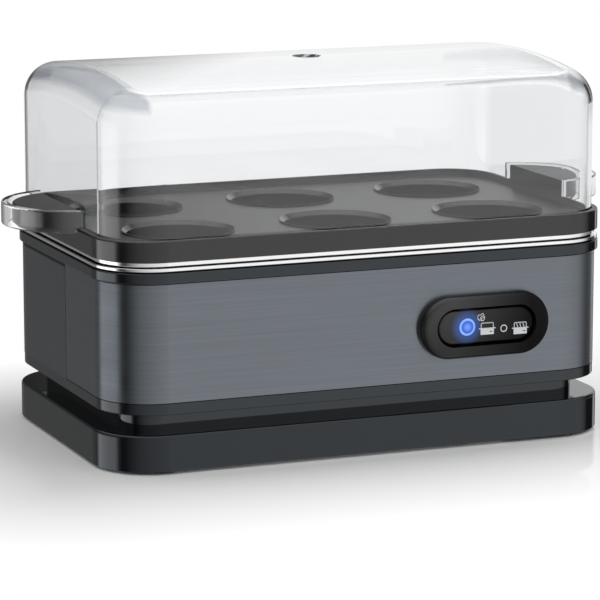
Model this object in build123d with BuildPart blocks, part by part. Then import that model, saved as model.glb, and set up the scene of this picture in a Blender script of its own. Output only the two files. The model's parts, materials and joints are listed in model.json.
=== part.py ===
"""Electric egg cooker: a steel-fronted base with a heated pan, a lift-off egg tray and a clear lid."""

import os
from math import cos, radians

from build123d import *

os.makedirs("parts", exist_ok=True)

# Plan outline that every shell, ring and band follows, in millimetres
body_length = 170.0
body_width = 107.0
corner_radius = 17.8

# Heights of the pieces, stacked from the table up
foot_reach = 1.0
foot_sink = 1.0
plinth_height = 11.45
groove_height = 6.05
lower_rim_height = 3.5
shell_height = 37.6
top_rim_height = 3.4
trim_height = 1.5
trim_foot_height = 0.4
bead_gap = 0.35
pan_rim_height = 1.4
pan_depth = 16.0
tray_rim_height = 6.55
lid_socket = 2.2
lid_height = 50.2

# How far each band stands out from, or back from, the steel's outer face
plinth_overhang = 1.1
groove_depth = 7.2
lower_rim_setback = 0.1
top_rim_overhang = 1.0
trim_overhang = 0.8
trim_width = 2.0
trim_foot_setback = 1.0
seal_setback = 2.2
pan_rim_setback = 0.2
pan_inset = 9.0
tray_overhang = 0.85
lid_setback = 1.2

# Walls and sheets
plastic_wall = 2.0
lip_wall = 1.5
lip_height = 3.0
steel_gauge = 0.8
pan_gauge = 0.8
lid_wall = 1.6
tray_wall = 2.6
deck_thickness = 2.0

# Clearances: fixed pieces, pieces that lift off, and the rocker on its pin
fit_gap = 0.1
seat_gap = 0.1
lift_gap = 0.3
pan_clearance = 0.4
running_gap = 0.05

# Soft edges
plinth_edge = 1.0
band_edge = 0.4
bead_edge = 0.25
pan_fillet = 4.0
tray_edge = 0.6

# Seam between the steel and the rear of the housing, on the side faces
seam_y = -6.7
seam_gap = 0.3
steel_end_gap = 0.3
panel_gap = 0.5

# Feet, bosses and screws
foot_radius = 7.0
foot_inset = 17.0
foot_edge = 0.4
boss_wall = 1.0
screw_radius = 1.5
screw_head_radius = 2.9
screw_head_height = 1.0
screw_boss_radius = 4.0
plinth_screw_x = 62.0
plinth_screw_y = 22.0
floor_boss_height = 8.0
shell_boss_height = 17.0
screw_end_gap = 1.5

# Egg seats, and how far they keep from the skirt's ends and sides and the two rows from each other
seat_end_gap = 2.4
seat_side_gap = 0.4
seat_row_gap = 11.8
seat_wall = 1.6
seat_depth = 3.0
seat_rise = 0.6
seat_chamfer = 1.4
skirt_depth = 6.5
skirt_wall = 1.6

# Grips at the two ends: ears on the tray inside loops on the lid
ear_reach = 13.3
ear_half_width = 20.5
ear_drop = 1.9
ear_rise = 5.2
ear_edge = 0.8
ear_chamfer = 1.5
loop_wall = 2.0
loop_gap = 1.5
loop_drop = 1.4
loop_rise = 5.65
loop_edge = 0.5

# Lid top
lid_arch_radius = 275.0
lid_edge_radius = 11.0
vent_radius = 4.65

# Switch on the front and cord gland on the back, which stand out equally far
panel_reach = 3.5
switch_end_inset = 46.2
switch_rise = 17.3
bezel_length = 44.8
bezel_height = 20.4
bezel_edge = 2.2
bezel_lip = 1.2
bezel_depth = 9.5
rocker_length = 33.5
rocker_height = 11.3
rocker_thickness = 6.0
rocker_edge = 1.0
rocker_recess = 0.8
rocker_gap = 0.55
pivot_depth = 4.0
pin_radius = 1.0
pin_engagement = 2.0
stem_width = 3.0
stem_height = 4.0
stem_reach = 2.0
stem_swing = 1.2
lens_offset = 6.6
lens_radius = 2.5
lens_proud = 0.15
led_radius = 1.5
led_length = 1.7
switch_clearance = 3.0
switch_width = 20.0
switch_height = 9.0
switch_depth = 17.0
switch_plate = 2.0
switch_screw_radius = 0.9
switch_screw_length = 6.0
terminal_pitch = 7.0
terminal_drop = 2.5
terminal_thickness = 0.8
terminal_height = 4.0
terminal_length = 7.0
gland_x = -40.0
gland_rise = 1.0
gland_bore = 3.2
gland_neck_radius = 4.6
gland_collar_radius = 6.5
gland_inner_collar = 2.0
gland_edge = 1.2

# Heater under the pan
spreader_length = 112.0
spreader_width = 46.0
spreader_thickness = 2.5
spreader_corner = 6.0
element_radius = 3.25
element_spacing = 24.0
element_start = -50.0
element_end = 45.0
element_bend = 11.0
element_pin_radius = 1.4
element_pin_length = 8.0
stud_radius = 2.0
stud_end_inset = 8.0
stud_tail = 1.2
clamp_length = 60.0
clamp_width = 34.0
clamp_thickness = 1.5
clamp_corner = 4.0
clamp_window = 4.0
nut_across_flats = 7.0
nut_height = 3.2
thermostat_radius = 7.0
fuse_radius = 2.0
fuse_length = 14.0
fuse_gap = 0.75
fuse_clip_length = 5.0
fuse_clip_wall = 0.9
tag_thickness = 0.8
tag_radius = 4.0
tag_tail = 12.0
tag_tail_width = 3.0

# Terminal block and leads inside the base
block_length = 30.0
block_width = 12.0
block_height = 11.0
block_y = 31.0
block_pitch = 10.0
block_screw_radius = 1.8
block_screw_height = 1.2
block_well_depth = 2.0
lead_radius = 1.1
lead_bend = 3.0
lead_rise = 6.0
lead_end_x = 5.0
lead_drop_run = 11.2
lead_climb_run = 6.0
lead_tag_run = 6.0
live_lead_y = 6.0

# Levels worked out from the stack
foot_top = foot_reach + foot_sink
plinth_top = foot_reach + plinth_height
plinth_ceiling = plinth_top - plastic_wall
floor_low = plinth_top + groove_height
floor_top = floor_low + plastic_wall
rim_top = floor_low + lower_rim_height
shell_top = rim_top + shell_height
frame_top = shell_top + top_rim_height
pan_rim_low = frame_top + trim_height + bead_gap
pan_rim_top = pan_rim_low + pan_rim_height
pan_floor_top = pan_rim_top - pan_depth
pan_floor_low = pan_floor_top - pan_gauge
tray_low = pan_rim_top + seat_gap
tray_top = tray_low + tray_rim_height
deck_top = tray_top - lid_socket
deck_low = deck_top - deck_thickness
lid_low = deck_top + seat_gap
lid_top = lid_low + lid_height

# Insets worked out from the walls
steel_back = steel_gauge + fit_gap
shell_inset = steel_back + plastic_wall
pan_wall_inset = pan_inset - pan_gauge
frame_opening = pan_wall_inset - pan_clearance
foot_x = body_length / 2 - foot_inset
foot_y = body_width / 2 - foot_inset

# Housing screws stand on the diagonals of the corner arcs, against the shell's inner wall
boss_reach = (corner_radius - shell_inset - screw_boss_radius + boss_wall / 2) * cos(radians(45))
boss_x = body_length / 2 - corner_radius + boss_reach
boss_y = body_width / 2 - corner_radius + boss_reach
boss_top = floor_top + shell_boss_height
floor_boss_top = floor_top + floor_boss_height

# Egg seats fill the room inside the tray's skirt
skirt_inset = pan_inset + pan_clearance
skirt_inside = skirt_inset + skirt_wall
seat_outside = body_width / 2 - skirt_inside - seat_side_gap - seat_row_gap / 2
seat_radius = seat_outside / 2 - seat_wall
egg_pitch_x = body_length / 2 - skirt_inside - seat_end_gap - seat_outside / 2
egg_pitch_y = seat_row_gap + seat_outside

# Switch depths, measured forward from the middle of the body
switch_x = body_length / 2 - switch_end_inset
face = body_width / 2
switch_z = rim_top + switch_rise
bezel_front = face + panel_reach
bezel_back = face - bezel_depth
neck_length = bezel_length - 2 * bezel_lip
neck_height = bezel_height - 2 * bezel_lip
opening_length = rocker_length + 2 * rocker_gap
opening_height = rocker_height + 2 * rocker_gap
rocker_front = bezel_front - rocker_recess
rocker_back = rocker_front - rocker_thickness
pivot = rocker_front - pivot_depth
switch_front = rocker_back - switch_clearance
switch_back = switch_front - switch_depth
terminal_end = switch_back - terminal_length
terminal_z = switch_z - terminal_drop
switch_screw_x = (opening_length + neck_length) / 4
lens_x = switch_x - lens_offset

# Heater levels, measured down from the pan
spreader_low = pan_floor_low - spreader_thickness
element_z = spreader_low - fit_gap - element_radius
clamp_top = element_z - element_radius - fit_gap
clamp_low = clamp_top - clamp_thickness
tag_low = clamp_low - tag_thickness
stud_low = tag_low - nut_height - stud_tail
element_pin_x = element_start - element_pin_length
stud_x = clamp_length / 2 - stud_end_inset
groove_radius = fuse_radius + fit_gap
clip_half_width = groove_radius + fuse_clip_wall
fuse_y = element_spacing / 2 + element_radius + fuse_gap + clip_half_width
gland_z = rim_top + lip_height + gland_collar_radius + gland_rise
lead_z = floor_top + lead_rise

BASE = (Align.CENTER, Align.CENTER, Align.MIN)
SIDES = (-1, 1)


def corners(x, y):
    """The four points that mirror one point about both middle planes."""
    return [(sx * x, sy * y) for sx in SIDES for sy in SIDES]


def block(grow, low, high, mode=Mode.ADD):
    """A block of the body's outline, grown by a margin, between two heights."""
    with BuildSketch(Plane.XY.offset(low)) as outline:
        RectangleRounded(body_length + 2 * grow, body_width + 2 * grow, corner_radius + grow)
    extrude(outline.sketch, amount=high - low, mode=mode)


def part_block(low, high, from_y, to_y, mode=Mode.ADD):
    """The stretch of the steel's outline between two depths, as a block."""
    with BuildSketch(Plane.XY.offset(low)) as outline:
        RectangleRounded(body_length, body_width, corner_radius)
        with Locations((0, (from_y + to_y) / 2)):
            Rectangle(body_length, to_y - from_y, mode=Mode.INTERSECT)
    extrude(outline.sketch, amount=high - low, mode=mode)


def post(x, y, low, high, radius, mode=Mode.ADD):
    """An upright round post, or with a cutting mode a round hole."""
    with Locations((x, y, low)):
        Cylinder(radius, high - low, align=BASE, mode=mode)


def pill(length, height, back, front, mode=Mode.ADD):
    """A block with round ends on the switch's centre, between two depths."""
    with BuildSketch(Plane.XZ.offset(back)) as outline:
        with Locations((switch_x, switch_z)):
            SlotOverall(length, height)
    extrude(outline.sketch, amount=front - back, mode=mode)


def depth_post(x, z, back, front, radius, mode=Mode.ADD):
    """A round post that points forward, between two depths."""
    with BuildSketch(Plane.XZ.offset(back)) as outline:
        with Locations((x, z)):
            Circle(radius)
    extrude(outline.sketch, amount=front - back, mode=mode)


def depth_bar(x, z, width, height, back, front, mode=Mode.ADD):
    """A square bar that points forward, between two depths."""
    with BuildSketch(Plane.XZ.offset(back)) as outline:
        with Locations((x, z)):
            Rectangle(width, height)
    extrude(outline.sketch, amount=front - back, mode=mode)


def end_grip(side, chord_x, half_width, reach, low, high, mode=Mode.ADD):
    """A block in the shape of a letter D that bulges out of one end of the body."""
    with BuildSketch(Plane.XY.offset(low)) as outline:
        with BuildLine():
            root_x = side * chord_x
            bow = ThreePointArc((root_x, -half_width), (side * reach, 0), (root_x, half_width))
            Line(bow @ 1, bow @ 0)
        make_face()
    extrude(outline.sketch, amount=high - low, mode=mode)


def bowl(inset, low, high, edge):
    """The pan's bowl as a solid: upright walls that round into a flat floor."""
    with BuildPart() as solid:
        block(-inset, low, high)
        fillet(solid.faces().sort_by(Axis.Z)[0].edges(), edge)
    return solid.part


def dome(inset):
    """The lid as a solid: upright walls under an arched top with a rolled edge."""
    with BuildPart() as solid:
        block(-lid_setback - inset, lid_low, lid_top - inset)
        with Locations((0, 0, lid_top - lid_arch_radius)):
            Cylinder(lid_arch_radius - inset, body_length, rotation=(0, 90, 0), mode=Mode.INTERSECT)
        fillet(solid.faces().sort_by(Axis.Z)[-1].edges(), lid_edge_radius - inset)
    return solid.part


# Plinth that the cooker stands on
with BuildPart() as plinth:
    block(plinth_overhang, foot_reach, plinth_top)
    fillet(plinth.faces().sort_by(Axis.Z)[-1].edges(), plinth_edge)
    block(plinth_overhang - plastic_wall, foot_reach, plinth_ceiling, Mode.SUBTRACT)
    for x, y in corners(foot_x, foot_y):
        post(x, y, foot_top, plinth_ceiling, foot_radius + boss_wall)
    for x, y in corners(plinth_screw_x, plinth_screw_y):
        post(x, y, foot_reach, plinth_ceiling, screw_head_radius + lift_gap, Mode.SUBTRACT)
        post(x, y, foot_reach, plinth_top, screw_radius + fit_gap, Mode.SUBTRACT)
plinth.part.label = "plinth"
export_step(plinth.part, "parts/plinth.step")

with BuildPart() as rubber_feet:
    for x, y in corners(foot_x, foot_y):
        post(x, y, 0, foot_top, foot_radius)
    fillet(rubber_feet.edges().group_by(Axis.Z)[0], foot_edge)
rubber_feet.part.label = "rubber_feet"
export_step(rubber_feet.part, "parts/rubber_feet.step")

# Core of the groove that the cord winds into
with BuildPart() as cord_core:
    block(-groove_depth, plinth_top, floor_low)
    block(-groove_depth - plastic_wall, plinth_top + plastic_wall, floor_low, Mode.SUBTRACT)
    for x, y in corners(plinth_screw_x, plinth_screw_y):
        post(x, y, plinth_top, floor_low, screw_boss_radius)
        post(x, y, plinth_top, floor_low, screw_radius + fit_gap, Mode.SUBTRACT)
cord_core.part.label = "cord_core"
export_step(cord_core.part, "parts/cord_core.step")

with BuildPart() as plinth_screws:
    for x, y in corners(plinth_screw_x, plinth_screw_y):
        post(x, y, plinth_ceiling - screw_head_height, plinth_ceiling, screw_head_radius)
        post(x, y, plinth_ceiling, floor_boss_top - 2 * screw_end_gap, screw_radius)
plinth_screws.part.label = "plinth_screws"
export_step(plinth_screws.part, "parts/plinth_screws.step")

# Floor of the base, whose edge shows as the lower rim
with BuildPart() as base_floor:
    block(-lower_rim_setback, floor_low, rim_top)
    fillet(base_floor.faces().sort_by(Axis.Z)[0].edges(), band_edge)
    block(-shell_inset - fit_gap, floor_low, rim_top + lip_height)
    block(-shell_inset - fit_gap - lip_wall, floor_top, rim_top + lip_height, Mode.SUBTRACT)
    for x, y in corners(plinth_screw_x, plinth_screw_y):
        post(x, y, floor_low, floor_boss_top, screw_boss_radius)
        post(x, y, floor_low, floor_boss_top - screw_end_gap, screw_radius + fit_gap, Mode.SUBTRACT)
    for x, y in corners(boss_x, boss_y):
        post(x, y, floor_top, rim_top + lip_height, screw_boss_radius + lift_gap, Mode.SUBTRACT)
        post(x, y, floor_low, floor_low + screw_head_height, screw_head_radius + fit_gap, Mode.SUBTRACT)
        post(x, y, floor_low, floor_top, screw_radius + fit_gap, Mode.SUBTRACT)
base_floor.part.label = "base_floor"
export_step(base_floor.part, "parts/base_floor.step")

with BuildPart() as housing_screws:
    for x, y in corners(boss_x, boss_y):
        post(x, y, floor_low, floor_low + screw_head_height, screw_head_radius)
        post(x, y, floor_low, boss_top - 2 * screw_end_gap, screw_radius)
housing_screws.part.label = "housing_screws"
export_step(housing_screws.part, "parts/housing_screws.step")

# Housing: recessed in front for the steel, flush with it at the rear
with BuildPart() as body_shell:
    block(-steel_back, rim_top, shell_top)
    part_block(rim_top, shell_top - panel_gap, seam_y + seam_gap, body_width / 2)
    block(-shell_inset, rim_top, shell_top, Mode.SUBTRACT)
    for x, y in corners(boss_x, boss_y):
        post(x, y, floor_top + fit_gap, boss_top, screw_boss_radius)
        post(x, y, floor_top + fit_gap, boss_top - screw_end_gap, screw_radius + fit_gap, Mode.SUBTRACT)
    pill(neck_length + 2 * fit_gap, neck_height + 2 * fit_gap, face - shell_inset, face, Mode.SUBTRACT)
    depth_post(gland_x, gland_z, -face, shell_inset - face, gland_neck_radius + fit_gap, Mode.SUBTRACT)
body_shell.part.label = "body_shell"
export_step(body_shell.part, "parts/body_shell.step")

# Brushed steel sheet bent round the front and half of each side
with BuildPart() as steel_wrap:
    part_block(rim_top + steel_end_gap, shell_top - steel_end_gap, -body_width / 2, seam_y)
    block(-steel_gauge, rim_top, shell_top, Mode.SUBTRACT)
    pill(neck_length + 2 * fit_gap, neck_height + 2 * fit_gap, face - shell_inset, face, Mode.SUBTRACT)
steel_wrap.part.label = "steel_wrap"
export_step(steel_wrap.part, "parts/steel_wrap.step")

# Frame that closes the housing and carries the pan
with BuildPart() as top_frame:
    block(top_rim_overhang, shell_top, frame_top)
    fillet(top_frame.edges().group_by(Axis.Z)[-1] + top_frame.edges().group_by(Axis.Z)[0], band_edge)
    block(-shell_inset - fit_gap, shell_top - lip_height, frame_top)
    block(-shell_inset - fit_gap - lip_wall, shell_top - lip_height, frame_top - plastic_wall, Mode.SUBTRACT)
    block(-frame_opening, shell_top - lip_height, frame_top, Mode.SUBTRACT)
top_frame.part.label = "top_frame"
export_step(top_frame.part, "parts/top_frame.step")

# Bright bead on a narrow foot, which leaves a dark line under it
with BuildPart() as chrome_trim:
    block(trim_overhang, frame_top + trim_foot_height, frame_top + trim_height)
    fillet(chrome_trim.edges().group_by(Axis.Z)[-1] + chrome_trim.edges().group_by(Axis.Z)[0], bead_edge)
    block(trim_overhang - trim_foot_setback, frame_top, frame_top + trim_foot_height)
    block(trim_overhang - trim_width, frame_top, frame_top + trim_height, Mode.SUBTRACT)
chrome_trim.part.label = "chrome_trim"
export_step(chrome_trim.part, "parts/chrome_trim.step")

with BuildPart() as pan_seal:
    block(-seal_setback, frame_top, pan_rim_low)
    block(-frame_opening, frame_top, pan_rim_low, Mode.SUBTRACT)
pan_seal.part.label = "pan_seal"
export_step(pan_seal.part, "parts/pan_seal.step")

# Stainless pan that boils the water, hung by its rolled rim
bowl_outside = bowl(pan_wall_inset, pan_floor_low, pan_rim_low, pan_fillet)
bowl_inside = bowl(pan_inset, pan_floor_top, pan_rim_top, pan_fillet - pan_gauge)

with BuildPart() as heating_pan:
    block(-pan_rim_setback, pan_rim_low, pan_rim_top)
    fillet(heating_pan.edges().group_by(Axis.Z)[-1] + heating_pan.edges().group_by(Axis.Z)[0], bead_edge)
    add(bowl_outside)
    add(bowl_inside, mode=Mode.SUBTRACT)
heating_pan.part.label = "heating_pan"
export_step(heating_pan.part, "parts/heating_pan.step")

# Heater: spreader plate, hairpin element, clamp, studs and nuts
with BuildPart() as heat_spreader:
    with BuildSketch(Plane.XY.offset(spreader_low)):
        RectangleRounded(spreader_length, spreader_width, spreader_corner)
    extrude(amount=spreader_thickness)
    for side in SIDES:
        post(side * stud_x, 0, spreader_low, pan_floor_low, stud_radius + fit_gap, Mode.SUBTRACT)
heat_spreader.part.label = "heat_spreader"
export_step(heat_spreader.part, "parts/heat_spreader.step")

with BuildPart() as pan_studs:
    for side in SIDES:
        post(side * stud_x, 0, stud_low, pan_floor_low, stud_radius)
pan_studs.part.label = "pan_studs"
export_step(pan_studs.part, "parts/pan_studs.step")

with BuildPart() as heating_element:
    with BuildLine() as hairpin:
        FilletPolyline(
            (element_start, -element_spacing / 2, element_z),
            (element_end, -element_spacing / 2, element_z),
            (element_end, element_spacing / 2, element_z),
            (element_start, element_spacing / 2, element_z),
            radius=element_bend,
        )
    with BuildSketch(Plane(origin=hairpin.line @ 0, z_dir=hairpin.line % 0)):
        Circle(element_radius)
    sweep()
heating_element.part.label = "heating_element"
export_step(heating_element.part, "parts/heating_element.step")

with BuildPart() as element_pins:
    with BuildSketch(Plane.YZ.offset(element_start)):
        with Locations((-element_spacing / 2, element_z), (element_spacing / 2, element_z)):
            Circle(element_pin_radius)
    extrude(amount=-element_pin_length)
element_pins.part.label = "element_pins"
export_step(element_pins.part, "parts/element_pins.step")

with BuildPart() as clamp_plate:
    with BuildSketch(Plane.XY.offset(clamp_low)):
        RectangleRounded(clamp_length, clamp_width, clamp_corner)
    extrude(amount=clamp_thickness)
    for side in SIDES:
        post(side * stud_x, 0, clamp_low, clamp_top, stud_radius + fit_gap, Mode.SUBTRACT)
    post(0, 0, clamp_low, clamp_top, clamp_window, Mode.SUBTRACT)
clamp_plate.part.label = "clamp_plate"
export_step(clamp_plate.part, "parts/clamp_plate.step")

with BuildPart() as clamp_nuts:
    for side, nut_top in zip(SIDES, (tag_low, clamp_low)):
        with BuildSketch(Plane.XY.offset(nut_top)):
            with Locations((side * stud_x, 0)):
                RegularPolygon(nut_across_flats / 2, 6, major_radius=False)
                Circle(stud_radius + fit_gap, mode=Mode.SUBTRACT)
        extrude(amount=-nut_height)
clamp_nuts.part.label = "clamp_nuts"
export_step(clamp_nuts.part, "parts/clamp_nuts.step")

# Earth tag under the left nut, with its tail towards the lead
with BuildPart() as earth_tag:
    with BuildSketch(Plane.XY.offset(tag_low)):
        with Locations((-stud_x, 0)):
            Circle(tag_radius)
        with Locations((-stud_x - tag_tail / 2, 0)):
            Rectangle(tag_tail, tag_tail_width)
        with Locations((-stud_x, 0)):
            Circle(stud_radius + fit_gap, mode=Mode.SUBTRACT)
    extrude(amount=tag_thickness)
earth_tag.part.label = "earth_tag"
export_step(earth_tag.part, "parts/earth_tag.step")

with BuildPart() as thermostat:
    post(0, 0, clamp_top + fit_gap, spreader_low, thermostat_radius)
    post(0, 0, clamp_low, clamp_top + fit_gap, clamp_window - lift_gap)
thermostat.part.label = "thermostat"
export_step(thermostat.part, "parts/thermostat.step")

with BuildPart() as thermal_fuse:
    fuse_z = spreader_low - fit_gap - fuse_radius
    with BuildSketch(Plane.YZ.offset(-fuse_length / 2)):
        with Locations((fuse_y, fuse_z)):
            Circle(fuse_radius)
    extrude(amount=fuse_length)
    fillet(thermal_fuse.edges(), fuse_radius / 4)
thermal_fuse.part.label = "thermal_fuse"
export_step(thermal_fuse.part, "parts/thermal_fuse.step")

with BuildPart() as fuse_clip:
    leg_height = spreader_low - fuse_z
    with BuildSketch(Plane.YZ.offset(-fuse_clip_length / 2)):
        with Locations((fuse_y, spreader_low)):
            Rectangle(2 * clip_half_width, leg_height + clip_half_width, align=(Align.CENTER, Align.MAX))
            Rectangle(2 * groove_radius, leg_height, align=(Align.CENTER, Align.MAX), mode=Mode.SUBTRACT)
        with Locations((fuse_y, fuse_z)):
            Circle(groove_radius, mode=Mode.SUBTRACT)
    extrude(amount=fuse_clip_length)
fuse_clip.part.label = "fuse_clip"
export_step(fuse_clip.part, "parts/fuse_clip.step")

# Rocker switch: bezel, pin, rocker, lens, lamp and switch body
with BuildPart() as switch_bezel:
    pill(bezel_length, bezel_height, face, bezel_front)
    fillet(switch_bezel.faces().sort_by(Axis.Y)[0].edges(), bezel_edge)
    pill(neck_length, neck_height, bezel_back, face)
    pill(opening_length, opening_height, bezel_back, bezel_front, Mode.SUBTRACT)
    pin_low = switch_z - opening_height / 2 - pin_engagement
    pin_high = switch_z + opening_height / 2 + pin_engagement
    post(switch_x, -pivot, pin_low, pin_high, pin_radius + fit_gap, Mode.SUBTRACT)
    for side in SIDES:
        screw_x = switch_x + side * switch_screw_x
        depth_post(screw_x, switch_z, bezel_back, bezel_back + switch_screw_length,
                   switch_screw_radius + fit_gap, Mode.SUBTRACT)
switch_bezel.part.label = "switch_bezel"
export_step(switch_bezel.part, "parts/switch_bezel.step")

with BuildPart() as rocker_pin:
    post(switch_x, -pivot, pin_low, pin_high, pin_radius)
rocker_pin.part.label = "rocker_pin"
export_step(rocker_pin.part, "parts/rocker_pin.step")

with BuildPart() as rocker:
    pill(rocker_length, rocker_height, rocker_back, rocker_front)
    fillet(rocker.faces().sort_by(Axis.Y)[0].edges(), rocker_edge)
    depth_bar(switch_x, switch_z, stem_width, stem_height, switch_front - stem_reach, rocker_back)
    post(switch_x, -pivot, pin_low, pin_high, pin_radius + running_gap, Mode.SUBTRACT)
    depth_post(lens_x, switch_z, rocker_back, rocker_front, lens_radius + fit_gap, Mode.SUBTRACT)
rocker.part.label = "rocker"
export_step(rocker.part, "parts/rocker.step")

with BuildPart() as indicator_lens:
    depth_post(lens_x, switch_z, rocker_back, rocker_front + lens_proud, lens_radius)
indicator_lens.part.label = "indicator_lens"
export_step(indicator_lens.part, "parts/indicator_lens.step")

with BuildPart() as switch_body:
    depth_bar(switch_x, switch_z, switch_width, switch_height, switch_back, switch_front)
    pill(neck_length, neck_height, bezel_back - switch_plate, bezel_back)
    slot_width = stem_width + 2 * stem_swing
    slot_height = stem_height + 2 * lift_gap
    slot_floor = switch_front - stem_reach - stem_swing
    depth_bar(switch_x, switch_z, slot_width, slot_height, slot_floor, switch_front, Mode.SUBTRACT)
    for side in SIDES:
        screw_x = switch_x + side * switch_screw_x
        depth_post(screw_x, switch_z, bezel_back - switch_plate, bezel_back,
                   switch_screw_radius + fit_gap, Mode.SUBTRACT)
switch_body.part.label = "switch_body"
export_step(switch_body.part, "parts/switch_body.step")

with BuildPart() as switch_screws:
    for side in SIDES:
        screw_x = switch_x + side * switch_screw_x
        head_back = bezel_back - switch_plate - screw_head_height
        depth_post(screw_x, switch_z, head_back, bezel_back - switch_plate, 2 * switch_screw_radius)
        depth_post(screw_x, switch_z, head_back, bezel_back + switch_screw_length - screw_end_gap,
                   switch_screw_radius)
switch_screws.part.label = "switch_screws"
export_step(switch_screws.part, "parts/switch_screws.step")

with BuildPart() as switch_terminals:
    for place in (-1, 0, 1):
        depth_bar(switch_x + place * terminal_pitch, terminal_z, terminal_thickness, terminal_height,
                  terminal_end, switch_back)
switch_terminals.part.label = "switch_terminals"
export_step(switch_terminals.part, "parts/switch_terminals.step")

with BuildPart() as indicator_led:
    depth_post(lens_x, switch_z, switch_front, switch_front + led_length, led_radius)
    fillet(indicator_led.faces().sort_by(Axis.Y)[0].edges(), led_radius / 2)
indicator_led.part.label = "indicator_led"
export_step(indicator_led.part, "parts/indicator_led.step")

# Gland where the supply cord enters, and the terminal block behind it
wall_inside = shell_inset - face
gland_inside = wall_inside + gland_inner_collar

with BuildPart() as cord_gland:
    depth_post(gland_x, gland_z, -face - panel_reach, -face, gland_collar_radius)
    fillet(cord_gland.faces().sort_by(Axis.Y)[-1].edges(), gland_edge)
    depth_post(gland_x, gland_z, -face, wall_inside, gland_neck_radius)
    depth_post(gland_x, gland_z, wall_inside, gland_inside, gland_collar_radius)
    depth_post(gland_x, gland_z, -face - panel_reach, gland_inside, gland_bore, Mode.SUBTRACT)
cord_gland.part.label = "cord_gland"
export_step(cord_gland.part, "parts/cord_gland.step")

block_places = [gland_x + place * block_pitch for place in (-1, 0, 1)]
block_top = floor_top + block_height
well_floor = block_top - block_well_depth
well_radius = block_screw_radius + lift_gap

with BuildPart() as terminal_block:
    with Locations((gland_x, block_y, floor_top)):
        Box(block_length, block_width, block_height, align=BASE)
    for x in block_places:
        post(x, block_y, well_floor, block_top, well_radius, Mode.SUBTRACT)
terminal_block.part.label = "terminal_block"
export_step(terminal_block.part, "parts/terminal_block.step")

with BuildPart() as terminal_screws:
    for x in block_places:
        post(x, block_y, well_floor, well_floor + block_screw_height, block_screw_radius)
terminal_screws.part.label = "terminal_screws"
export_step(terminal_screws.part, "parts/terminal_screws.step")

# Leads from the terminal block, each a few straight runs with tangent bends
block_face = block_y - block_width / 2
pin_y = element_spacing / 2
run_x = element_pin_x - lead_end_x
low_z = lead_z + lead_bend
tag_z = tag_low + tag_thickness / 2
tag_end_x = -stud_x - tag_tail
live_x = switch_x - terminal_pitch
climb_y = lead_climb_run - terminal_end
drop_y = lead_drop_run - terminal_end
lead_routes = {
    "live_lead": [
        (block_places[2], block_face, lead_z),
        (block_places[2], live_lead_y, lead_z),
        (live_x, live_lead_y, lead_z),
        (live_x, climb_y, lead_z),
        (live_x, climb_y, terminal_z),
        (live_x, -terminal_end, terminal_z),
    ],
    "switched_lead": [
        (switch_x, -terminal_end, terminal_z),
        (switch_x, drop_y, terminal_z),
        (switch_x, drop_y, low_z),
        (run_x, drop_y, low_z),
        (run_x, -pin_y, element_z),
        (element_pin_x, -pin_y, element_z),
    ],
    "neutral_lead": [
        (block_places[0], block_face, lead_z),
        (block_places[0], pin_y, lead_z),
        (run_x, pin_y, lead_z),
        (run_x, pin_y, element_z),
        (element_pin_x, pin_y, element_z),
    ],
    "earth_lead": [
        (block_places[1], block_face, lead_z),
        (tag_end_x - lead_tag_run, 0, lead_z),
        (tag_end_x - lead_tag_run, 0, tag_z),
        (tag_end_x, 0, tag_z),
    ],
}
for lead_name, points in lead_routes.items():
    with BuildPart() as lead:
        with BuildLine() as route:
            FilletPolyline(*points, radius=lead_bend)
        with BuildSketch(Plane(origin=route.line @ 0, z_dir=route.line % 0)):
            Circle(lead_radius)
        sweep()
    lead.part.label = lead_name
    export_step(lead.part, f"parts/{lead_name}.step")

# Egg tray: a rim that takes the lid, a deck with six seats, a skirt into the pan and two ears
tray_half = body_length / 2 + tray_overhang
socket_inset = lid_setback - lift_gap
ear_chord = body_length / 2 - socket_inset
ear_tip = tray_half + ear_reach
ear_low = tray_top - ear_drop

with BuildPart() as egg_tray:
    block(tray_overhang, tray_low, tray_top)
    fillet(egg_tray.edges().group_by(Axis.Z)[-1], tray_edge)
    for side in SIDES:
        end_grip(side, ear_chord, ear_half_width, ear_tip, ear_low, tray_top + ear_rise)
    ear_tops = egg_tray.faces().filter_by(Axis.Z).group_by(Axis.Z)[-1]
    fillet(ear_tops.edges().filter_by(GeomType.CIRCLE), ear_edge)
    ear_bottoms = egg_tray.faces().filter_by_position(Axis.Z, ear_low, ear_low)
    chamfer(ear_bottoms.edges().filter_by(GeomType.CIRCLE), ear_chamfer)
    block(-socket_inset, deck_top, tray_top + ear_rise, Mode.SUBTRACT)
    block(tray_overhang - tray_wall, tray_low, deck_low, Mode.SUBTRACT)
    block(-skirt_inset, tray_low - skirt_depth, deck_low)
    block(-skirt_inset - skirt_wall, tray_low - skirt_depth, deck_low, Mode.SUBTRACT)
    with GridLocations(egg_pitch_x, egg_pitch_y, 3, 2):
        with Locations((0, 0, deck_low - seat_depth)):
            Cylinder(seat_radius + seat_wall, seat_depth + deck_thickness + seat_rise, align=BASE)
    with GridLocations(egg_pitch_x, egg_pitch_y, 3, 2):
        with Locations((0, 0, deck_low - seat_depth)):
            Cylinder(seat_radius, seat_depth + deck_thickness + seat_rise, align=BASE, mode=Mode.SUBTRACT)
    seat_tops = egg_tray.faces().filter_by_position(Axis.Z, deck_top + seat_rise, deck_top + seat_rise)
    chamfer(seat_tops.edges().sort_by(SortBy.RADIUS)[:6], seat_chamfer)
egg_tray.part.label = "egg_tray"
export_step(egg_tray.part, "parts/egg_tray.step")

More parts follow.
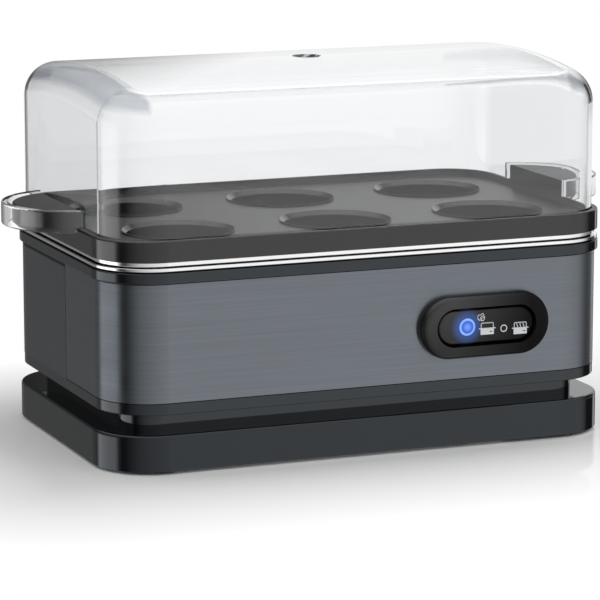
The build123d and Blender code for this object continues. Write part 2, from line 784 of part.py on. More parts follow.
# Lid: a clear dome with a steam vent and a loop handle at each end
lid_half = body_length / 2 - lid_setback
loop_half_width = ear_half_width + loop_gap + loop_wall
loop_tip = ear_tip + loop_gap + loop_wall
loop_low = tray_top - loop_drop
loop_high = tray_top + loop_rise
lid_outside = dome(0)
lid_inside = dome(lid_wall)

with BuildPart() as lid:
    for side in SIDES:
        end_grip(side, lid_half - lid_wall, loop_half_width, loop_tip, loop_low, loop_high)
    fillet(lid.faces().filter_by(Axis.Z).edges().filter_by(GeomType.CIRCLE), loop_edge)
    for side in SIDES:
        end_grip(side, lid_half - lid_wall, loop_half_width - loop_wall, loop_tip - loop_wall,
                 loop_low, loop_high, Mode.SUBTRACT)
    block(tray_overhang + lift_gap, loop_low, tray_top + lift_gap, Mode.SUBTRACT)
    add(lid_outside)
    add(lid_inside, mode=Mode.SUBTRACT)
    post(0, 0, lid_low, lid_top, vent_radius, Mode.SUBTRACT)
lid.part.label = "lid"
export_step(lid.part, "parts/lid.step")
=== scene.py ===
"""Looks of an oblong electric egg cooker: finishes, switch marks, studio light and camera."""

import json
from math import cos, pi, radians, sin

import bpy
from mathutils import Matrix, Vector


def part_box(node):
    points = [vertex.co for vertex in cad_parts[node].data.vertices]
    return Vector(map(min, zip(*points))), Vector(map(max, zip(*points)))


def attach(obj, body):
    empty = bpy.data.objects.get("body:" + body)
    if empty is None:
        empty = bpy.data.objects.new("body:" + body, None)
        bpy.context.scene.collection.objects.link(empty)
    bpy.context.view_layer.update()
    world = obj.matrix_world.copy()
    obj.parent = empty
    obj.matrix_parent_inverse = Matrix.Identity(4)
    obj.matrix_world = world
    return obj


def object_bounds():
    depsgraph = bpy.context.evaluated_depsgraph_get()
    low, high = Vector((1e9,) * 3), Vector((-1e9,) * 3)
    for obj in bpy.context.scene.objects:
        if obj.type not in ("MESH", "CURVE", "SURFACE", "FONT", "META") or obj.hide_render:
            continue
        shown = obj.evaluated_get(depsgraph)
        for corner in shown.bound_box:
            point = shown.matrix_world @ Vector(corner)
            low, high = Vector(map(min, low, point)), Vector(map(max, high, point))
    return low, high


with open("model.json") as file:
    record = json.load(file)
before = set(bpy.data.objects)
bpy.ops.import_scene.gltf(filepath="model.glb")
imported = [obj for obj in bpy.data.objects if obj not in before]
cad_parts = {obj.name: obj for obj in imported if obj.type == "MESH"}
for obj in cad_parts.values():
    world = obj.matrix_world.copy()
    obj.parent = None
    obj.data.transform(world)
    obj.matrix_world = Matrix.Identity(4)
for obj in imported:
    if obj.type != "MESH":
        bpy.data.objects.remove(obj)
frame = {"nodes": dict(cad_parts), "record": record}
cad_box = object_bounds()
nodes = frame["nodes"]
MM = 0.001

# Camera, as the photograph was taken
CAMERA_PLACE = Vector((-0.39948, -0.98463, 0.24249))
CAMERA_AIM = Vector((-0.00224, 0.0, 0.04058))
CAMERA_LENS = 197.6

# What polished surfaces mirror round the studio: degrees to the right of the front,
# how bright it is there along the horizon, and how bright above it
STUDIO_PANELS = [
    # Dim behind, with a low panel on the left
    (-180, 0.21, 0.1), (-142, 0.21, 0.1), (-131, 0.6, 0.2), (-90, 0.6, 0.2), (-81, 0.25, 0.25),
    # A dark gap, then brighter and brighter past the front
    (-75, 0.04, 0.04), (-67, 0.05, 0.05), (-59, 0.17, 0.17), (-38, 0.47, 0.47), (-18, 0.64, 0.64),
    (10, 0.8, 0.8), (20, 0.93, 0.93), (26, 1.0, 1.0), (46, 0.9, 0.9), (66, 0.8, 0.8),
    # Fading into a dark gap on the right
    (76, 0.58, 0.58), (84, 0.3, 0.3), (91, 0.04, 0.04), (117, 0.02, 0.02),
    # Panels behind on the right
    (124, 0.9, 0.9), (128, 0.95, 0.95), (134, 0.1, 0.95), (148, 0.1, 0.95),
    (153, 0.85, 0.95), (159, 0.85, 0.95), (162, 0.15, 0.03), (180, 0.21, 0.1),
]

# Heights in the studio, from 0 at the horizon to 1 overhead, over which one level goes into the next
HORIZON_TOP = (0.06, 0.12)
OVERHEAD_START = (0.45, 0.75)
OVERHEAD_LEVEL = 1.0
ZENITH_START = (0.85, 0.95)
ZENITH_LEVEL = 1.3

# Light strips low in the studio: where each starts and ends round it in degrees, where it starts and ends
# in height, and its level. The first lights the lid's right edge, the second the left corner's plastics
LIGHT_STRIPS = [
    ((80, 86), (179, 180), (-0.156, -0.151), (-0.085, -0.075), 0.85),
    ((-140, -131), (-90, -81), (-0.29, -0.27), (-0.15, -0.13), 1.7),
]

# The floor: half its side, and how far from the part it fades to plain white, in metres
FLOOR_HALF = 4.0
FLOOR_FADE = (0.0, 0.07)


# Node helpers

def new_material(name):
    """A material, its node tree and its main shader."""
    material = bpy.data.materials.new(name)
    material.use_nodes = True
    tree = material.node_tree
    return material, tree, tree.nodes["Principled BSDF"]


def fed_by(material, socket):
    """A material's node tree, its main shader and the output that feeds one of the shader's sockets."""
    tree = material.node_tree
    shader = tree.nodes["Principled BSDF"]
    return tree, shader, shader.inputs[socket].links[0].from_socket


def set_inputs(node, values):
    """Sets sockets of a node by name."""
    for socket, value in values.items():
        node.inputs[socket].default_value = value


def own_place(tree):
    """A point's place in the piece's own coordinates, which are the frame's, in metres."""
    return tree.nodes.new("ShaderNodeTexCoord").outputs["Object"]


def split(tree, source):
    """The X, Y and Z outputs of a vector."""
    parts = tree.nodes.new("ShaderNodeSeparateXYZ")
    tree.links.new(source, parts.inputs["Vector"])
    return parts.outputs


def place_along(tree, axis):
    """A point's place along one axis of the frame, in metres."""
    return split(tree, own_place(tree))[axis]


def face_normal(tree):
    """The direction a face looks in."""
    return tree.nodes.new("ShaderNodeNewGeometry").outputs["Normal"]


def upward(tree):
    """How far a face looks up: 1 for a level top, 0 for an upright wall."""
    return split(tree, face_normal(tree))["Z"]


def grain(tree, stretch, scale, detail=3.0):
    """Noise over the piece's own coordinates, stretched along the axes."""
    mapping = tree.nodes.new("ShaderNodeMapping")
    noise = tree.nodes.new("ShaderNodeTexNoise")
    set_inputs(mapping, {"Scale": stretch})
    set_inputs(noise, {"Scale": scale, "Detail": detail})
    tree.links.new(own_place(tree), mapping.inputs["Vector"])
    tree.links.new(mapping.outputs["Vector"], noise.inputs["Vector"])
    return noise.outputs["Fac"]


def span(tree, source, low, high, start=0.3, end=0.7):
    """Spreads a pattern's usual range over two values."""
    node = tree.nodes.new("ShaderNodeMapRange")
    set_inputs(node, {"From Min": start, "From Max": end, "To Min": low, "To Max": high})
    tree.links.new(source, node.inputs["Value"])
    return node.outputs["Result"]


def rise(tree, source, bounds):
    """0 below two bounds, 1 above them and a ramp between."""
    return span(tree, source, 0.0, 1.0, *bounds)


def fall(tree, source, bounds):
    """1 below two bounds, 0 above them and a ramp between."""
    return span(tree, source, 1.0, 0.0, *bounds)


def join(tree, operation, first, second, clamp=False):
    """Joins two patterns by one operation. The second may be a plain number."""
    node = tree.nodes.new("ShaderNodeMath")
    node.operation = operation
    node.use_clamp = clamp
    tree.links.new(first, node.inputs[0])
    if isinstance(second, float):
        node.inputs[1].default_value = second
    else:
        tree.links.new(second, node.inputs[1])
    return node.outputs["Value"]


def times(tree, first, second):
    """One pattern times another."""
    return join(tree, "MULTIPLY", first, second)


def window(tree, source, start, end):
    """1 between where a value starts and ends, with soft sides, and 0 elsewhere."""
    return times(tree, rise(tree, source, start), fall(tree, source, end))


def vector_step(tree, operation, source, other=None):
    """One step of arithmetic on a vector, with a plain second vector where the operation needs one."""
    node = tree.nodes.new("ShaderNodeVectorMath")
    node.operation = operation
    tree.links.new(source, node.inputs[0])
    if other is not None:
        node.inputs[1].default_value = other
    return node.outputs["Value" if operation == "LENGTH" else "Vector"]


def tint(tree, source, dark, light):
    """A colour that goes from one to another with a pattern."""
    node = tree.nodes.new("ShaderNodeMix")
    node.data_type = "RGBA"
    node.inputs["A"].default_value = (*dark, 1.0)
    node.inputs["B"].default_value = (*light, 1.0)
    tree.links.new(span(tree, source, 0.0, 1.0), node.inputs["Factor"])
    return node.outputs["Result"]


def blend_levels(tree, factor, first, second):
    """Goes from one brightness to another. Each is a colour output or a plain grey level."""
    node = tree.nodes.new("ShaderNodeMix")
    node.data_type = "RGBA"
    tree.links.new(factor, node.inputs["Factor"])
    for socket, source in (("A", first), ("B", second)):
        if isinstance(source, float):
            node.inputs[socket].default_value = (source, source, source, 1.0)
        else:
            tree.links.new(source, node.inputs[socket])
    return node.outputs["Result"]


def colour_ramp(tree, source, stops):
    """Colours along a pattern that runs from 0 to 1. Each stop is a place and a colour."""
    node = tree.nodes.new("ShaderNodeValToRGB")
    while len(node.color_ramp.elements) < len(stops):
        node.color_ramp.elements.new(0.5)
    for element, (place, colour) in zip(node.color_ramp.elements, stops):
        element.position = place
        element.color = (*colour, 1.0)
    tree.links.new(source, node.inputs["Fac"])
    return node.outputs["Color"]


def mix_shaders(tree, factor, first, second):
    """Gives a material a mix of two shaders as its surface."""
    mix = tree.nodes.new("ShaderNodeMixShader")
    tree.links.new(factor, mix.inputs["Fac"])
    tree.links.new(first, mix.inputs[1])
    tree.links.new(second, mix.inputs[2])
    tree.links.new(mix.outputs["Shader"], tree.nodes["Material Output"].inputs["Surface"])


def relief(tree, shader, source, depth, strength=1.0):
    """Fine relief of a given depth in metres, from a pattern."""
    bump = tree.nodes.new("ShaderNodeBump")
    set_inputs(bump, {"Strength": strength, "Distance": depth})
    tree.links.new(source, bump.inputs["Height"])
    tree.links.new(bump.outputs["Normal"], shader.inputs["Normal"])


# Finishes: two colours to drift between, a range of roughness, the shader's settings, the scale of the
# fine grain and the depth of its relief in metres

EVEN = (1, 1, 1)
ALONG_X = (0.03, 1, 1)
DRIFT_SCALE = 60.0

POLISHED = {"IOR": 1.64}
COOL_POLISHED = {"IOR": 1.64, "Specular Tint": (0.84, 0.92, 1.0, 1.0)}
COOL_DEEP = {"IOR": 1.55, "Specular Tint": (0.84, 0.92, 1.0, 1.0)}
SATIN = {"IOR": 1.5}
COOL_SATIN = {"IOR": 1.5, "Specular Tint": (0.86, 0.93, 1.0, 1.0)}
METAL = {"Metallic": 1.0}

MOULDED_BLACK = dict(dark=(0.0032, 0.0036, 0.0042), light=(0.0048, 0.0054, 0.0062), rough=(0.03, 0.07),
                     scale=700.0, depth=1e-6)
INSULATION = dict(rough=(0.3, 0.45), settings=SATIN, scale=2200.0, depth=6e-6)

PLAIN_FINISHES = {
    "dark_gloss": dict(MOULDED_BLACK, settings=COOL_POLISHED),
    "plinth_gloss": dict(MOULDED_BLACK, settings=COOL_DEEP),
    "seal_rubber": dict(dark=(0.008, 0.008, 0.008), light=(0.014, 0.014, 0.014), rough=(0.55, 0.75),
                        settings=SATIN, scale=2200.0, depth=1.2e-5),
    "screw_steel": dict(dark=(0.42, 0.42, 0.41), light=(0.58, 0.58, 0.56), rough=(0.2, 0.36),
                        settings=METAL, scale=2500.0, depth=4e-6),
    "black_oxide": dict(dark=(0.02, 0.02, 0.021), light=(0.035, 0.035, 0.036), rough=(0.3, 0.45),
                        settings=METAL, scale=2500.0, depth=3e-6),
    "brass_fittings": dict(dark=(0.55, 0.38, 0.14), light=(0.68, 0.5, 0.22), rough=(0.2, 0.34),
                           settings=METAL, scale=2500.0, depth=3e-6),
    "spreader_aluminium": dict(dark=(0.62, 0.62, 0.62), light=(0.74, 0.74, 0.74), rough=(0.28, 0.42),
                               settings=METAL, stretch=ALONG_X, scale=1200.0, depth=5e-6),
    "element_sheath": dict(dark=(0.2, 0.19, 0.18), light=(0.36, 0.34, 0.32), rough=(0.35, 0.5),
                           settings=METAL, scale=1800.0, depth=6e-6),
    "inner_plastic": dict(dark=(0.012, 0.012, 0.013), light=(0.02, 0.02, 0.021), rough=(0.4, 0.55),
                          settings=SATIN, scale=2400.0, depth=8e-6),
    "block_plastic": dict(dark=(0.62, 0.61, 0.58), light=(0.72, 0.71, 0.69), rough=(0.35, 0.5),
                          settings=SATIN, scale=2000.0, depth=6e-6),
    "print_white": dict(dark=(0.6, 0.61, 0.63), light=(0.74, 0.75, 0.77), rough=(0.4, 0.55),
                        settings=SATIN, scale=2600.0, depth=2e-6),
    "lead_brown": dict(INSULATION, dark=(0.12, 0.045, 0.018), light=(0.17, 0.065, 0.025)),
    "lead_blue": dict(INSULATION, dark=(0.02, 0.06, 0.32), light=(0.03, 0.08, 0.42)),
    "lead_green": dict(INSULATION, dark=(0.2, 0.33, 0.03), light=(0.27, 0.42, 0.05)),
}

# The tray's upper faces: how far a face looks up, and how much rougher it gets
TRAY_TOP_TURN = (0.7, 0.9)
TRAY_TOP_ROUGH = 0.34

# The housing's top seam, a painted shadow line: the height over which it goes dark, its grey level, and the
# shine outside and in it, lowered in it as painted shade
SEAM_PAINTED_SHADE = (0.0579, 0.0583)
SEAM_PAINTED_SHADE_LEVEL = 0.001
SEAM_PAINTED_SHADE_SHINE = (0.5, 0.1)

# The switch's shine, lowered as painted shade of its reflection: from left to right and where along the
# front, and its share from foot to top
SWITCH_PAINTED_SHADE_SHINE = (0.5, 0.06)
SWITCH_PAINTED_SHADE_RUN = (0.028, 0.054)
SWITCH_PAINTED_SHADE_SHARE = (0.7, 1.6)

# The lower bead's painted shadow line: the height over which it goes from its dark, shaded foot to bright,
# and the foot's painted shade level
BEAD_PAINTED_SHADE = (0.06345, 0.0636)
BEAD_FOOT_PAINTED_SHADE = 0.01

# The pan: the height over which it goes from its brushed bowl to its bright rim, the turn of the faces
# that stay brushed, and the rim's level
PAN_RIM = (0.0645, 0.0648)
PAN_TOP_TURN = (0.6, 0.9)
PAN_RIM_LEVEL = 0.95

# The lid's shoulders, tinted grey as painted shade: how far a face turns to an end, how far it looks up, and
# the height they start at
SHOULDER_TURN = (0.08, 0.25)
SHOULDER_FADE = (0.2, 0.8)
SHOULDER_FOOT = (0.095, 0.1)
# The lid's clear colour, and the grey painted on its shoulders as shade
LID_CLEAR = (0.985, 0.99, 0.995)
LID_SHOULDER_PAINTED_SHADE = (0.58, 0.605, 0.64)

# The lit lens: its colours from the middle to its edge, and those of the painted glow on the rocker round it,
# from the middle to where it ends, which is some lens radii away
RING_BLUE = (0.24, 0.43, 1.0)
LENS_STOPS = [
    (0.0, (0.17, 0.33, 1.0)), (0.3, (0.12, 0.26, 0.9)), (0.65, (0.02, 0.11, 0.55)), (0.8, (0.03, 0.13, 0.6)),
    (0.87, RING_BLUE), (1.0, RING_BLUE),
]
PAINTED_GLOW_STOPS = [
    (0.0, RING_BLUE), (0.42, RING_BLUE), (0.46, (0.002, 0.05, 0.25)), (0.58, (0.012, 0.05, 0.2)),
    (0.7, (0.011, 0.034, 0.12)), (0.8, (0.007, 0.016, 0.06)), (0.9, (0.002, 0.005, 0.02)),
    (1.0, (0.0, 0.0, 0.0)),
]
PAINTED_GLOW_REACH = 2.5


def finish(name, dark, light, rough, settings, scale, depth, stretch=EVEN):
    """A finish with a colour drift, uneven gloss and a fine relief."""
    material, tree, shader = new_material(name)
    set_inputs(shader, settings)
    fine = grain(tree, stretch, scale)
    broad = grain(tree, EVEN, DRIFT_SCALE)
    tree.links.new(tint(tree, broad, dark, light), shader.inputs["Base Color"])
    tree.links.new(span(tree, fine, *rough), shader.inputs["Roughness"])
    relief(tree, shader, fine, depth)
    return material


def tray_gloss():
    """Polished black plastic whose upper faces have a satin texture."""
    material = finish("tray_gloss", dark=(0.005, 0.005, 0.005), light=(0.0075, 0.0074, 0.0073),
                      rough=(0.04, 0.08), settings=POLISHED, scale=700.0, depth=1e-6)
    tree, shader, gloss = fed_by(material, "Roughness")
    texture = span(tree, upward(tree), 0.0, TRAY_TOP_ROUGH, *TRAY_TOP_TURN)
    tree.links.new(join(tree, "ADD", gloss, texture), shader.inputs["Roughness"])
    return material


def housing_grey():
    """Satin plastic, with a painted shadow line along the seam at its top: darker and less shiny there."""
    material = finish("housing_grey", dark=(0.021, 0.0238, 0.0278), light=(0.026, 0.0293, 0.0337),
                      rough=(0.16, 0.24), settings=COOL_SATIN, scale=1500.0, depth=3e-6)
    tree, shader, grey = fed_by(material, "Base Color")
    # Painted shade: a dark, dull band along the top seam stands in for the shadow under the frame
    seam = rise(tree, place_along(tree, "Z"), SEAM_PAINTED_SHADE)
    tree.links.new(blend_levels(tree, seam, grey, SEAM_PAINTED_SHADE_LEVEL), shader.inputs["Base Color"])
    tree.links.new(span(tree, seam, *SEAM_PAINTED_SHADE_SHINE, 0.0, 1.0), shader.inputs["Specular IOR Level"])
    return material


def switch_black(name):
    """Fine satin black with painted shade: its shine is lowered towards its right end and its foot."""
    material = finish(name, dark=(0.0036, 0.0038, 0.0042), light=(0.0052, 0.0055, 0.006),
                      rough=(0.24, 0.32), settings=SATIN, scale=1800.0, depth=1e-6)
    tree = material.node_tree
    low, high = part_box("switch_bezel")
    # Painted shade: the shine falls off towards the right end and the foot, standing in for the darker
    # reflection there
    across = span(tree, place_along(tree, "X"), *SWITCH_PAINTED_SHADE_SHINE, *SWITCH_PAINTED_SHADE_RUN)
    upright = span(tree, place_along(tree, "Z"), *SWITCH_PAINTED_SHADE_SHARE, low.z, high.z)
    tree.links.new(times(tree, across, upright), tree.nodes["Principled BSDF"].inputs["Specular IOR Level"])
    return material


def brushed_front():
    """Tinted steel brushed along the horizon: streaks run round the body and highlights spread upright."""
    material, tree, shader = new_material("brushed_front")
    set_inputs(shader, {"Metallic": 1.0, "Anisotropic": 0.75, "Anisotropic Rotation": 0.25})
    streaks = grain(tree, stretch=(14, 14, 2600), scale=1.0, detail=6.0)
    broad = grain(tree, stretch=(20, 20, 160), scale=1.0)
    steel = tint(tree, streaks, dark=(0.165, 0.181, 0.201), light=(0.19, 0.207, 0.23))
    tree.links.new(steel, shader.inputs["Base Color"])
    tree.links.new(span(tree, broad, low=0.27, high=0.33), shader.inputs["Roughness"])
    tangent = tree.nodes.new("ShaderNodeTangent")
    tangent.direction_type = "RADIAL"
    tangent.axis = "Z"
    tree.links.new(tangent.outputs["Tangent"], shader.inputs["Tangent"])
    relief(tree, shader, streaks, depth=2e-6, strength=0.3)
    return material


def chrome_bead():
    """Bright bead whose foot and underside are darkened with painted shade."""
    material = finish("chrome_bead", dark=(0.9, 0.905, 0.915), light=(0.95, 0.953, 0.957),
                      rough=(0.015, 0.04), settings=METAL, scale=500.0, depth=5e-7)
    tree, shader, bright = fed_by(material, "Base Color")
    # Painted shade: below the bead the foot goes near black, standing in for the shadow line over the frame
    height = rise(tree, place_along(tree, "Z"), BEAD_PAINTED_SHADE)
    tree.links.new(blend_levels(tree, height, BEAD_FOOT_PAINTED_SHADE, bright), shader.inputs["Base Color"])
    return material


def stainless():
    """Brushed steel whose rolled rim is polished bright."""
    material = finish("stainless", dark=(0.6, 0.6, 0.595), light=(0.72, 0.72, 0.715),
                      rough=(0.08, 0.2), settings=METAL, stretch=ALONG_X, scale=1600.0, depth=3e-6)
    tree, shader, brushed = fed_by(material, "Base Color")
    rim = times(tree, rise(tree, place_along(tree, "Z"), PAN_RIM), fall(tree, upward(tree), PAN_TOP_TURN))
    tree.links.new(blend_levels(tree, rim, brushed, PAN_RIM_LEVEL), shader.inputs["Base Color"])
    return material


def lid_shoulders(tree):
    """1 where the lid's ends turn into its top, fading to 0 down the end walls: where the painted shade goes.
    """
    either_side = split(tree, vector_step(tree, "ABSOLUTE", face_normal(tree)))
    to_end = rise(tree, either_side["X"], SHOULDER_TURN)
    to_top = rise(tree, either_side["Z"], SHOULDER_FADE)
    return times(tree, times(tree, to_end, to_top), rise(tree, place_along(tree, "Z"), SHOULDER_FOOT))


def clear_plastic():
    """Water-clear moulded plastic, with painted shade greying its shoulders, and smoky where it is looked at
    along the wall.
    """
    material, tree, shader = new_material("clear_plastic")
    set_inputs(shader, {"IOR": 1.57, "Transmission Weight": 1.0})
    # Painted shade: the shoulders are tinted grey, standing in for the darker reflection there
    tree.links.new(tint(tree, lid_shoulders(tree), LID_CLEAR, LID_SHOULDER_PAINTED_SHADE), shader.inputs["Base Color"])
    smears = grain(tree, stretch=(1, 1, 0.5), scale=45.0, detail=5.0)
    tree.links.new(span(tree, smears, low=0.0, high=0.035, start=0.45, end=0.75), shader.inputs["Roughness"])
    relief(tree, shader, grain(tree, EVEN, scale=120.0), depth=1e-6, strength=0.5)
    haze = tree.nodes.new("ShaderNodeVolumeAbsorption")
    set_inputs(haze, {"Color": (0.5, 0.55, 0.6, 1.0), "Density": 28.0})
    tree.links.new(haze.outputs["Volume"], tree.nodes["Material Output"].inputs["Volume"])
    # Light that was mirrored once passes freely, so that none is caught inside the wall
    rays = tree.nodes.new("ShaderNodeLightPath")
    mirrored = rise(tree, rays.outputs["Glossy Depth"], (0.0, 1.0))
    open_way = tree.nodes.new("ShaderNodeBsdfTransparent")
    mix_shaders(tree, mirrored, shader.outputs["BSDF"], open_way.outputs["BSDF"])
    return material


def lamp_colours(tree, centre, reach, stops):
    """Colours that change with the distance from the lamp's middle, seen from the front."""
    offset = vector_step(tree, "SUBTRACT", own_place(tree), centre)
    flat = vector_step(tree, "MULTIPLY", offset, (1, 0, 1))
    distance = vector_step(tree, "LENGTH", flat)
    return colour_ramp(tree, rise(tree, distance, (0.0, reach)), stops)


def led_blue(centre, radius):
    """A lit blue lens: a soft middle inside a bright ring."""
    material, tree, shader = new_material("led_blue")
    set_inputs(shader, {"IOR": 1.5, "Roughness": 0.12, "Emission Strength": 1.0})
    tree.links.new(lamp_colours(tree, centre, radius, LENS_STOPS), shader.inputs["Emission Color"])
    fine = grain(tree, EVEN, scale=1500.0)
    lens = tint(tree, fine, dark=(0.003, 0.008, 0.04), light=(0.006, 0.012, 0.06))
    tree.links.new(lens, shader.inputs["Base Color"])
    return material


def rocker_black(centre, radius):
    """The switch's black, with a painted glow round the lens: the plastic itself emits the lamp's blue."""
    material = switch_black("rocker_black")
    tree = material.node_tree
    shader = tree.nodes["Principled BSDF"]
    # Painted light: the rocker's plastic is made to emit, standing in for the lamp's light spilling round the
    # lens
    set_inputs(shader, {"Emission Strength": 1.0})
    glow = lamp_colours(tree, centre, PAINTED_GLOW_REACH * radius, PAINTED_GLOW_STOPS)
    tree.links.new(glow, shader.inputs["Emission Color"])
    return material


lens_low, lens_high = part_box("indicator_lens")
lens_centre = (lens_low + lens_high) / 2
lens_radius = (lens_high.x - lens_low.x) / 2

finishes = {name: finish(name, **values) for name, values in PLAIN_FINISHES.items()}
finishes["housing_grey"] = housing_grey()
finishes["tray_gloss"] = tray_gloss()
finishes["clear_plastic"] = clear_plastic()
finishes["brushed_front"] = brushed_front()
finishes["chrome_bead"] = chrome_bead()
finishes["stainless"] = stainless()
finishes["led_blue"] = led_blue(lens_centre, lens_radius)
finishes["switch_black"] = switch_black("switch_black")


def paint(piece, material):
    """Gives a piece one finish all over."""
    piece.data.materials.clear()
    piece.data.materials.append(material)


for part in frame["record"]["subparts"]:
    paint(nodes[part["node"]], finishes[part["material_slot"]])
paint(nodes["rocker"], rocker_black(lens_centre, lens_radius))
paint(nodes["rocker_pin"], finishes["black_oxide"])
paint(nodes["plinth"], finishes["plinth_gloss"])


# Marks on the rocker: thin printed shapes, drawn in millimetres about their own middle

PRINT_THICKNESS = 0.06 * MM
CIRCLE_STEPS = 40
CORNER_STEPS = 8
WISP_STEPS = 10
WISP_SWAY = 0.16
WISP_PLACES = (-1.1, 0.0, 1.1)
EGG_STROKE = 0.26

# An egg's half width for a half height of 1: at its waist, and how much less towards its top
EGG_WAIST = 0.82
EGG_TAPER = 0.12


def link_new(name, data):
    """A new object in the scene."""
    made = bpy.data.objects.new(name, data)
    bpy.context.scene.collection.objects.link(made)
    return made


def circle(radius):
    """A ring of points about the middle."""
    angles = [2 * pi * step / CIRCLE_STEPS for step in range(CIRCLE_STEPS)]
    return [(radius * cos(a), radius * sin(a)) for a in angles]


def rectangle(x, z, width, height):
    """The corners of an upright rectangle about a middle point."""
    return [(x + sx * width / 2, z + sz * height / 2) for sx, sz in ((-1, -1), (1, -1), (1, 1), (-1, 1))]


def hood(foot, width, height, radius):
    """A lid's outline: flat below, with two round corners on top."""
    outline = [(-width / 2, foot), (width / 2, foot)]
    for centre_x, start in ((width / 2 - radius, 0), (radius - width / 2, 90)):
        for step in range(CORNER_STEPS + 1):
            a = radians(start + step * 90 / CORNER_STEPS)
            outline.append((centre_x + radius * cos(a), foot + height - radius + radius * sin(a)))
    return outline


def wisp(x, z, height, width):
    """A wavy stroke of steam, as a closed outline."""
    steps = [step / WISP_STEPS for step in range(WISP_STEPS + 1)]
    left = [(x - width / 2 + WISP_SWAY * sin(2 * pi * s), z + height * (s - 0.5)) for s in steps]
    right = [(px + width, pz) for px, pz in reversed(left)]
    return left + right


def egg_line(size, lean, start, end):
    """Part of an egg's outline as a closed band: half height, lean and where the line runs, in degrees."""
    band = []
    for half in (size, size - EGG_STROKE):
        side = []
        for step in range(CIRCLE_STEPS + 1):
            a = radians(start + (end - start) * step / CIRCLE_STEPS)
            across = half * (EGG_WAIST - EGG_TAPER * sin(a)) * cos(a)
            up = half * sin(a)
            side.append((across * cos(radians(lean)) - up * sin(radians(lean)),
                         across * sin(radians(lean)) + up * cos(radians(lean))))
        band.append(side)
    return band[0] + band[1][::-1]


def mark(name, x, z, outlines):
    """A flat printed mark on the rocker's face. Outlines inside others are holes."""
    curve = bpy.data.curves.new(name, "CURVE")
    curve.dimensions = "2D"
    curve.fill_mode = "BOTH"
    curve.extrude = PRINT_THICKNESS / 2
    for outline in outlines:
        spline = curve.splines.new("POLY")
        spline.points.add(len(outline) - 1)
        spline.use_cyclic_u = True
        for point, (px, pz) in zip(spline.points, outline):
            point.co = (px * MM, pz * MM, 0.0, 1.0)
    shape = link_new(name + "_outline", curve)
    mesh = bpy.data.meshes.new_from_object(shape.evaluated_get(bpy.context.evaluated_depsgraph_get()))
    bpy.data.objects.remove(shape)
    piece = link_new(name, mesh)
    piece.location = (x * MM, rocker_face - PRINT_THICKNESS / 2, z * MM)
    piece.rotation_euler = (radians(90), 0, 0)
    paint(piece, finishes["print_white"])
    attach(piece, "rocker")


def cooker_outlines():
    """A cooker seen from the front: a lid drawn as a line over a solid base with a dark switch."""
    lid_outside = hood(foot=0.25, width=4.5, height=1.7, radius=0.5)
    lid_inside = hood(foot=0.25, width=4.0, height=1.45, radius=0.3)
    flange = rectangle(x=0, z=0.06, width=5.8, height=0.36)
    base = rectangle(x=0, z=-1.03, width=4.65, height=1.8)
    switch = rectangle(x=1.35, z=-1.0, width=1.1, height=0.26)
    return [lid_outside, lid_inside, flange, base, switch]


rocker_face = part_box("rocker")[0].y
steam = [wisp(x, z=0.95, height=1.2, width=0.28) for x in WISP_PLACES]
mark("pictogram_cook", x=39.15, z=38.35, outlines=cooker_outlines())
mark("pictogram_egg_left", x=36.5, z=42.1, outlines=[egg_line(size=1.0, lean=25, start=60, end=330)])
mark("pictogram_egg_top", x=37.3, z=42.5, outlines=[egg_line(size=0.9, lean=-20, start=-40, end=190)])
mark("pictogram_egg_right", x=37.5, z=41.8, outlines=[egg_line(size=0.95, lean=-35, start=0, end=360)])
mark("pictogram_off", x=44.95, z=38.0, outlines=[circle(radius=1.2), circle(radius=0.88)])
mark("pictogram_keep_warm", x=50.75, z=37.7, outlines=cooker_outlines() + steam)


# Stage: pale floor, soft studio light, camera

def pale_floor():
    """A polished white floor that fades to plain white away from the part."""
    corners = [(x, y, 0) for x, y in rectangle(0, 0, 2 * FLOOR_HALF, 2 * FLOOR_HALF)]
    mesh = bpy.data.meshes.new("floor")
    mesh.from_pydata(corners, [], [(0, 1, 2, 3)])
    floor = link_new("floor", mesh)
    material, tree, shader = new_material("floor_white")
    set_inputs(shader, {"Base Color": (0.93, 0.93, 0.93, 1.0), "Roughness": 0.06, "IOR": 1.35})
    # How far a point of the floor lies outside the part's own rectangle
    half_x, half_y = (cad_box[1].x - cad_box[0].x) / 2, (cad_box[1].y - cad_box[0].y) / 2
    from_middle = vector_step(tree, "ABSOLUTE", own_place(tree))
    past_edge = vector_step(tree, "SUBTRACT", from_middle, (half_x, half_y, 0))
    distance = vector_step(tree, "LENGTH", vector_step(tree, "MAXIMUM", past_edge, (0, 0, 0)))
    rays = tree.nodes.new("ShaderNodeLightPath")
    seen = join(tree, "MAXIMUM", rays.outputs["Is Camera Ray"], rays.outputs["Is Transmission Ray"])
    plain = tree.nodes.new("ShaderNodeEmission")
    fade = times(tree, rise(tree, distance, FLOOR_FADE), seen)
    mix_shaders(tree, fade, shader.outputs["BSDF"], plain.outputs["Emission"])
    paint(floor, material)
    floor.visible_glossy = False


def share_round(degrees):
    """A place round the studio as a share of the full turn, starting behind."""
    return degrees / 360 + 0.5


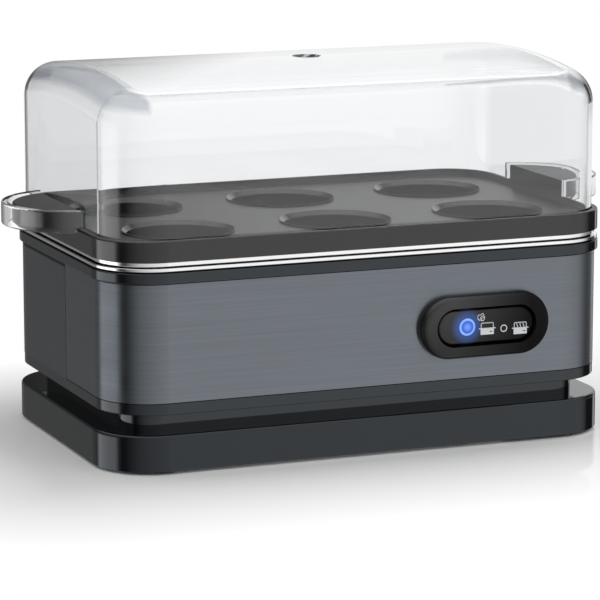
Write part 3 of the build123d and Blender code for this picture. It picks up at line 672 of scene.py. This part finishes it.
def studio_world():
    """Even white light, and for polished surfaces a ring of white panels and dark gaps."""
    world = bpy.data.worlds.new("studio")
    bpy.context.scene.world = world
    world.use_nodes = True
    tree = world.node_tree
    tree.nodes.clear()
    direction = split(tree, tree.nodes.new("ShaderNodeTexCoord").outputs["Generated"])
    height = direction["Z"]
    to_front = join(tree, "MULTIPLY", direction["Y"], -1.0)
    angle = join(tree, "ARCTAN2", direction["X"], to_front)
    turn = rise(tree, angle, (-pi, pi))
    horizon = colour_ramp(tree, turn, [(share_round(a), (low, low, low)) for a, low, high in STUDIO_PANELS])
    above = colour_ramp(tree, turn, [(share_round(a), (high, high, high)) for a, low, high in STUDIO_PANELS])
    room = blend_levels(tree, rise(tree, height, HORIZON_TOP), horizon, above)
    for start, end, foot, top, level in LIGHT_STRIPS:
        across = window(tree, turn, [share_round(a) for a in start], [share_round(a) for a in end])
        room = blend_levels(tree, times(tree, across, window(tree, height, foot, top)), room, level)
    room = blend_levels(tree, rise(tree, height, OVERHEAD_START), room, OVERHEAD_LEVEL)
    room = blend_levels(tree, rise(tree, height, ZENITH_START), room, ZENITH_LEVEL)
    # Only mirrored light sees the room: rays that went through the clear lid see plain white
    rays = tree.nodes.new("ShaderNodeLightPath")
    through = rays.outputs["Is Transmission Ray"]
    mirrored = join(tree, "SUBTRACT", rays.outputs["Is Glossy Ray"], through, clamp=True)
    sky = tree.nodes.new("ShaderNodeBackground")
    out = tree.nodes.new("ShaderNodeOutputWorld")
    tree.links.new(blend_levels(tree, mirrored, 1.0, room), sky.inputs["Color"])
    tree.links.new(sky.outputs["Background"], out.inputs["Surface"])


def studio_camera():
    """The photograph's view."""
    camera = link_new("camera", bpy.data.cameras.new("camera"))
    camera.data.lens = CAMERA_LENS
    camera.data.sensor_width = 36.0
    camera.data.clip_start = 0.01
    camera.location = CAMERA_PLACE
    camera.rotation_euler = (CAMERA_AIM - CAMERA_PLACE).to_track_quat("-Z", "Y").to_euler()
    bpy.context.scene.camera = camera


pale_floor()
studio_world()
studio_camera()
bpy.context.scene.view_settings.view_transform = "Standard"
